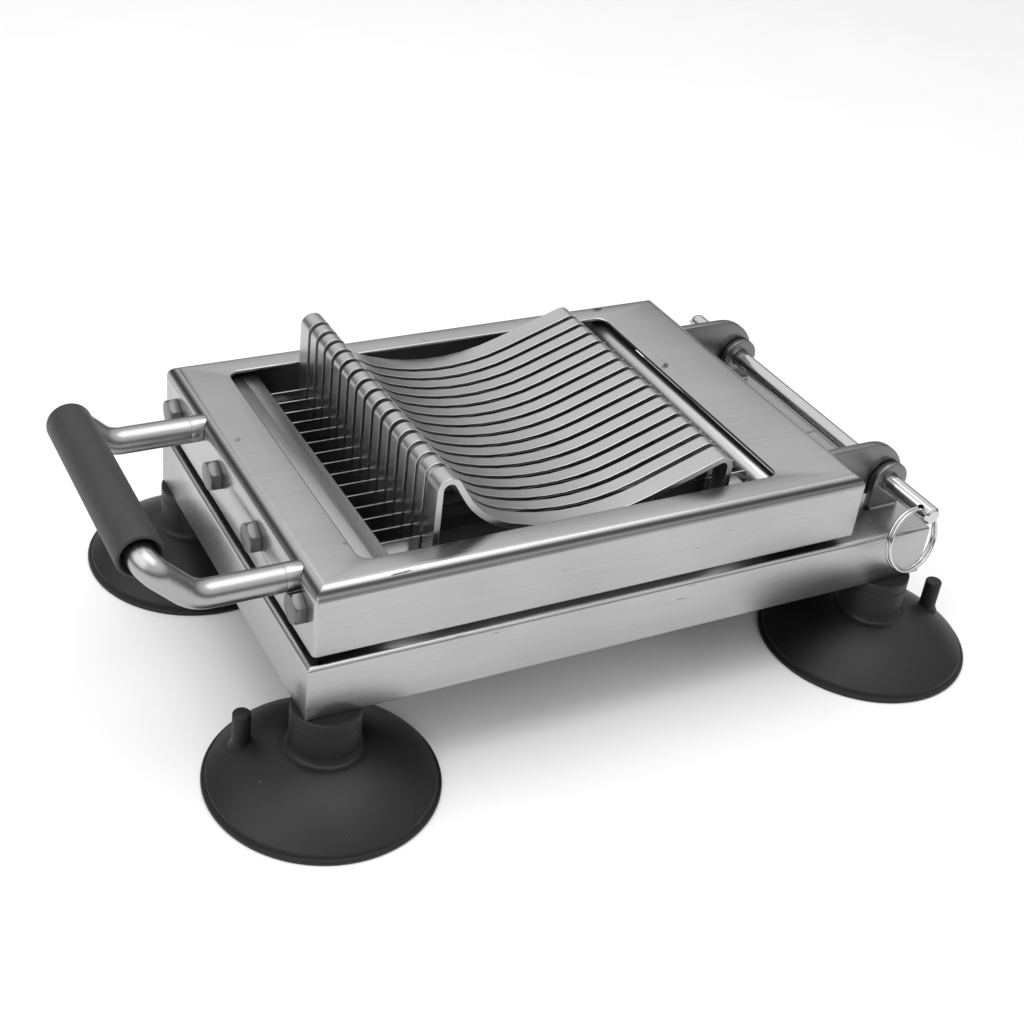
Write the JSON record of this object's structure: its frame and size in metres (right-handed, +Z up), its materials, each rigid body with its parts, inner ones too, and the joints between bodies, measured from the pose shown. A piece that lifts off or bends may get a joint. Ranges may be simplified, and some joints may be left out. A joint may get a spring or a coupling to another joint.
{
  "type": "hinged blade slicer for soft vegetables",
  "caption": "Hand slicer on suction cups: a hinged frame of stretched blades closes through a slotted dished tray in the base.",
  "frame": {"origin": "on the worktop, under the middle of the whole outline", "axes": "+X from the handle to the hinge, -Y to the front where the hinge pin pulls out, +Z up"},
  "size_m": [0.442, 0.288, 0.1405],
  "materials": {
    "frame_steel": "satin, brushed along its length",
    "tray_steel": "satin with rounded, tumbled edges",
    "blade_steel": "ground strip",
    "polished_steel": "bright drawn bar and wire",
    "tube_steel": "drawn tube, lightly polished",
    "fastener_steel": "plain stainless",
    "cup_rubber": "moulded, matt",
    "grip_rubber": "smooth extruded, satin"
  },
  "bodies": {
    "base": {"base_frame": "frame_steel", "crossbar_left": "frame_steel", "crossbar_right": "frame_steel", "tray": "tray_steel", "tray_screws": "fastener_steel", "corner_plate_front_left": "frame_steel", "corner_plate_front_right": "frame_steel", "corner_plate_back_left": "frame_steel", "corner_plate_back_right": "frame_steel", "suction_cup_front_left": "cup_rubber", "suction_cup_front_right": "cup_rubber", "suction_cup_back_left": "cup_rubber", "suction_cup_back_right": "cup_rubber", "cup_studs": "fastener_steel", "cup_washers": "fastener_steel", "cup_nuts": "fastener_steel", "stop_pad_front": "cup_rubber", "stop_pad_back": "cup_rubber", "base_ear_front": "frame_steel", "base_ear_back": "frame_steel"},
    "blade_frame": {"top_frame": "frame_steel", "top_ear_front": "frame_steel", "top_ear_back": "frame_steel", "rod_bracket_front": "frame_steel", "rod_bracket_back": "frame_steel", "tension_bar": "frame_steel", "tension_bolts": "fastener_steel", "keeper_pin_left": "fastener_steel", "anchor_rod": "polished_steel", "keeper_pin_right": "fastener_steel", "handle_collar_front": "frame_steel", "handle_collar_back": "frame_steel", "handle_tube": "tube_steel", "handle_grip": "grip_rubber", "blade_1": "blade_steel", "blade_2": "blade_steel", "blade_3": "blade_steel", "blade_4": "blade_steel", "blade_5": "blade_steel", "blade_6": "blade_steel", "blade_7": "blade_steel", "blade_8": "blade_steel", "blade_9": "blade_steel", "blade_10": "blade_steel", "blade_11": "blade_steel", "blade_12": "blade_steel", "blade_13": "blade_steel", "blade_14": "blade_steel", "blade_15": "blade_steel"},
    "pin": {"hinge_pin": "polished_steel"},
    "ring": {"split_ring": "polished_steel"}
  },
  "joints": [
    {"name": "frame_hinge", "type": "hinge", "parent": "base", "child": "blade_frame", "pos_m": [0.17388, 0, 0.0866], "axis": [0, 1, 0], "range_deg": [0, 110]},
    {"name": "pin_slide", "type": "slide", "parent": "base", "child": "pin", "axis": [0, -1, 0], "range_m": [0, 0.19]},
    {"name": "ring_swing", "type": "hinge", "parent": "pin", "child": "ring", "pos_m": [0.17388, -0.103, 0.0866], "axis": [-0.8746, 0, 0.4848], "range_deg": [-17, 150]}
  ]
}
